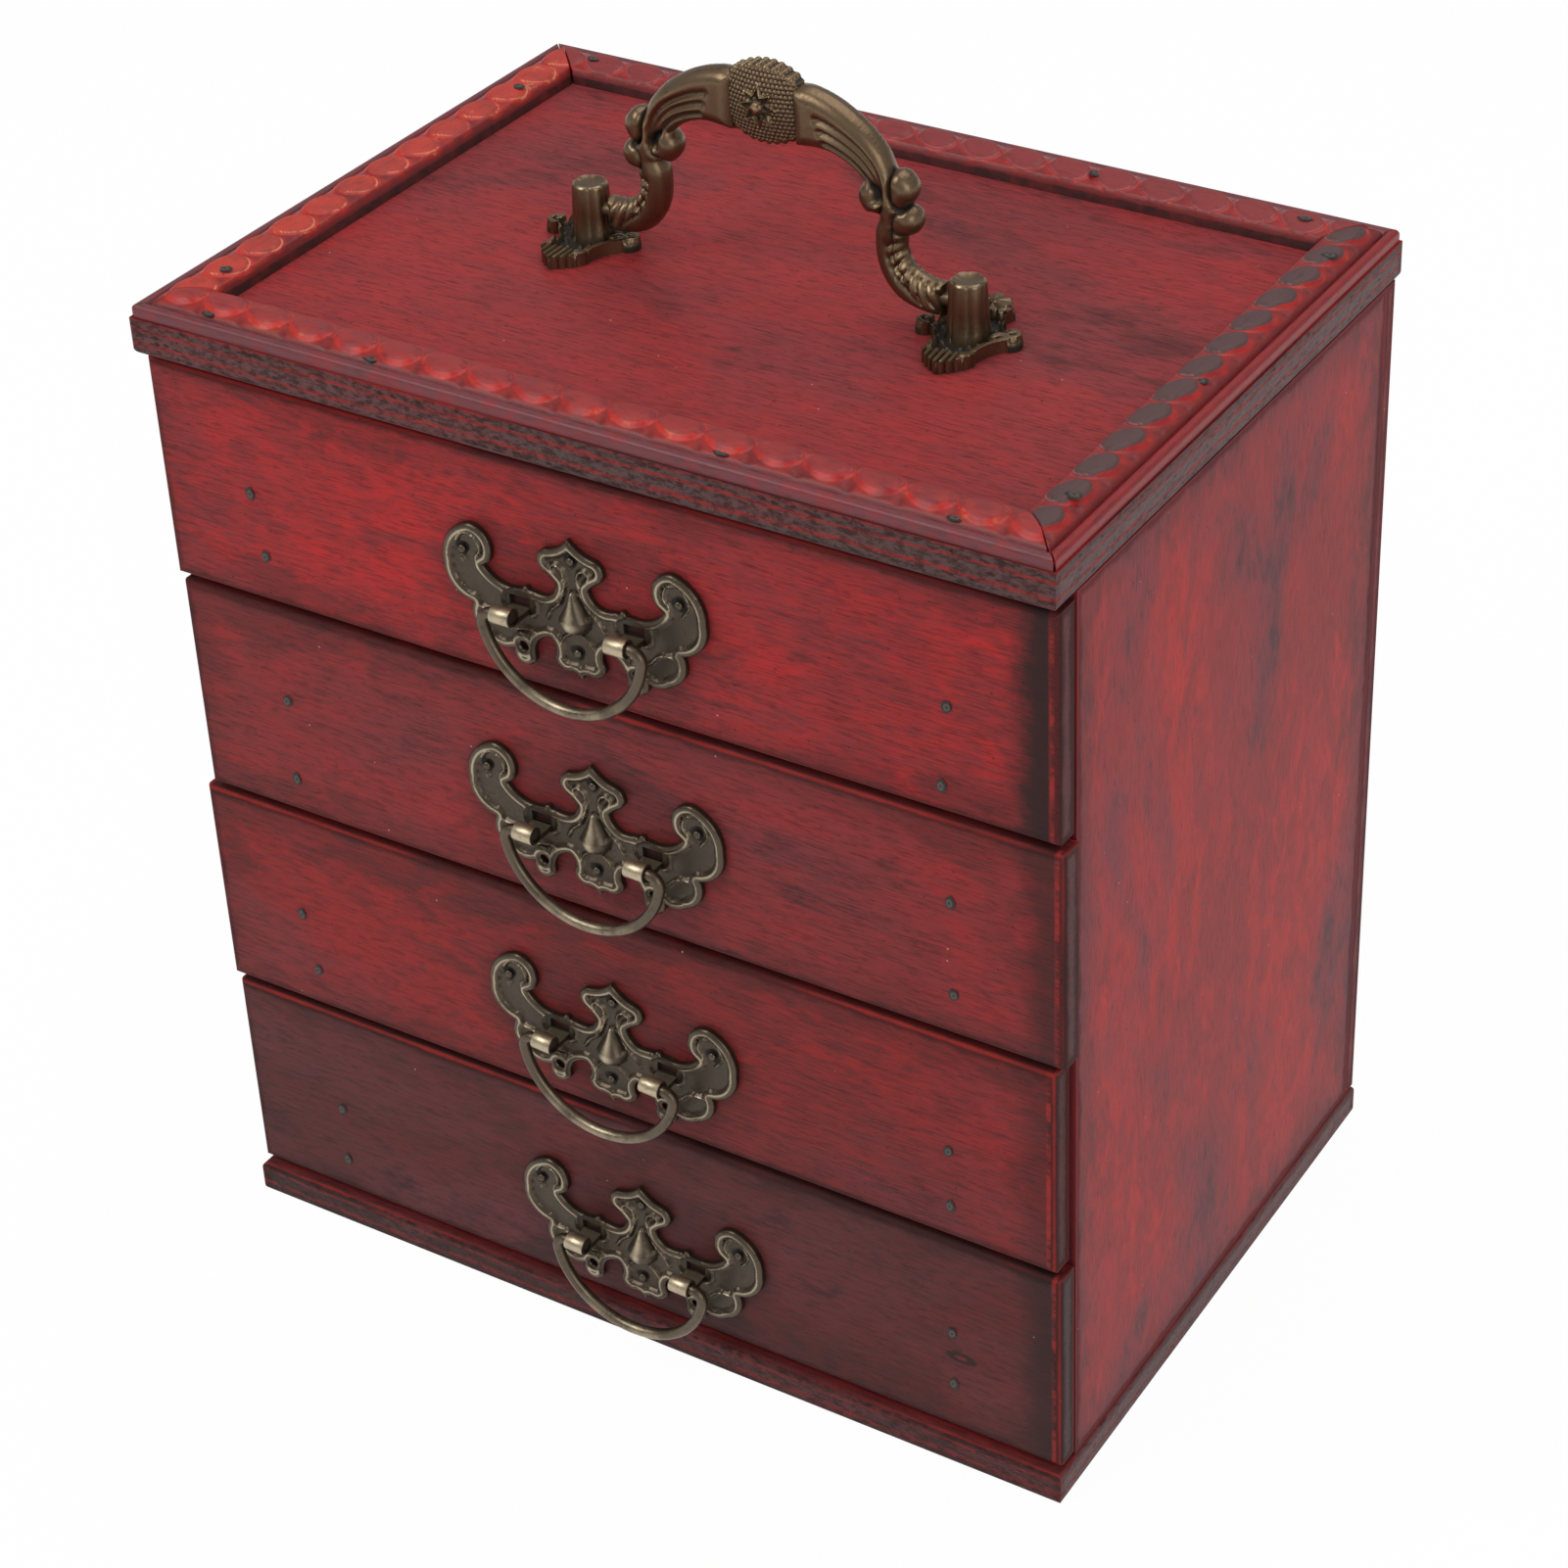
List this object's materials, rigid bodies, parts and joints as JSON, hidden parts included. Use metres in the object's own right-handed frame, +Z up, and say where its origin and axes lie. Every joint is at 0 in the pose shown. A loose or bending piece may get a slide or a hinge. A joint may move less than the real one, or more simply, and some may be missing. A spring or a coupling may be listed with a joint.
{
  "type": "jewelry box with drawers",
  "caption": "Small wooden chest with stacked drawers, bat-wing bail pulls on the fronts, a carved moulding round the top and a swinging cast carrying handle.",
  "frame": {"origin": "middle of the underside of the base panel, which stands on the table", "axes": "+Z up, -Y the way the drawers open, +X to the right of someone facing the drawers"},
  "size_m": [0.2019, 0.1486, 0.2655],
  "materials": {
    "painted_wood": "worn crimson stain over plywood, satin",
    "plain_wood": "thin red-brown wash on plain boards, matt",
    "antique_bronze": "dark antique bronze plating, rubbed bright on the rims",
    "nail_steel": "dull steel, browned"
  },
  "bodies": {
    "case": {"base_panel": "painted_wood", "top_panel": "painted_wood", "left_side": "painted_wood", "right_side": "painted_wood", "back_panel": "painted_wood", "shelf_1": "plain_wood", "shelf_2": "plain_wood", "shelf_3": "plain_wood", "moulding_front": "painted_wood", "moulding_back": "painted_wood", "moulding_left": "painted_wood", "moulding_right": "painted_wood", "moulding_nails": "nail_steel", "case_nails": "nail_steel", "handle_foot_left": "antique_bronze", "handle_foot_right": "antique_bronze", "handle_screws": "nail_steel"},
    "drawer_1": {"drawer_1_front": "painted_wood", "drawer_1_left_side": "plain_wood", "drawer_1_right_side": "plain_wood", "drawer_1_back": "plain_wood", "drawer_1_bottom": "plain_wood", "drawer_1_nails": "nail_steel", "pull_1_plate": "antique_bronze", "pull_1_pins": "antique_bronze"},
    "bail_1": {"pull_1_bail": "antique_bronze"},
    "drawer_2": {"drawer_2_front": "painted_wood", "drawer_2_left_side": "plain_wood", "drawer_2_right_side": "plain_wood", "drawer_2_back": "plain_wood", "drawer_2_bottom": "plain_wood", "drawer_2_nails": "nail_steel", "pull_2_plate": "antique_bronze", "pull_2_pins": "antique_bronze"},
    "bail_2": {"pull_2_bail": "antique_bronze"},
    "drawer_3": {"drawer_3_front": "painted_wood", "drawer_3_left_side": "plain_wood", "drawer_3_right_side": "plain_wood", "drawer_3_back": "plain_wood", "drawer_3_bottom": "plain_wood", "drawer_3_nails": "nail_steel", "pull_3_plate": "antique_bronze", "pull_3_pins": "antique_bronze"},
    "bail_3": {"pull_3_bail": "antique_bronze"},
    "drawer_4": {"drawer_4_front": "painted_wood", "drawer_4_left_side": "plain_wood", "drawer_4_right_side": "plain_wood", "drawer_4_back": "plain_wood", "drawer_4_bottom": "plain_wood", "drawer_4_nails": "nail_steel", "pull_4_plate": "antique_bronze", "pull_4_pins": "antique_bronze"},
    "bail_4": {"pull_4_bail": "antique_bronze"},
    "handle": {"handle_bail": "antique_bronze"}
  },
  "joints": [
    {"name": "drawer_1_slide", "type": "slide", "parent": "case", "child": "drawer_1", "axis": [0, -1, 0], "range_m": [0, 0.1]},
    {"name": "bail_1_swing", "type": "hinge", "parent": "drawer_1", "child": "bail_1", "pos_m": [-0.0015, -0.0752, 0.17905], "axis": [-0.9994, 0, -0.0349], "range_deg": [-12, 185]},
    {"name": "drawer_2_slide", "type": "slide", "parent": "case", "child": "drawer_2", "axis": [0, -1, 0], "range_m": [0, 0.1]},
    {"name": "bail_2_swing", "type": "hinge", "parent": "drawer_2", "child": "bail_2", "pos_m": [-0.001, -0.0752, 0.1293], "axis": [-1, 0, 0], "range_deg": [-12, 185]},
    {"name": "drawer_3_slide", "type": "slide", "parent": "case", "child": "drawer_3", "axis": [0, -1, 0], "range_m": [0, 0.1]},
    {"name": "bail_3_swing", "type": "hinge", "parent": "drawer_3", "child": "bail_3", "pos_m": [-0.0013, -0.0752, 0.07735], "axis": [-0.9986, 0, 0.0523], "range_deg": [-12, 185]},
    {"name": "drawer_4_slide", "type": "slide", "parent": "case", "child": "drawer_4", "axis": [0, -1, 0], "range_m": [0, 0.1]},
    {"name": "bail_4_swing", "type": "hinge", "parent": "drawer_4", "child": "bail_4", "pos_m": [0.0023, -0.0752, 0.0261], "axis": [-0.9998, 0, 0.0175], "range_deg": [-12, 185]},
    {"name": "handle_swing", "type": "hinge", "parent": "case", "child": "handle", "pos_m": [0.0025, -0.003, 0.2258], "axis": [0.9996, -0.0279, 0], "range_deg": [-93, 93]}
  ]
}
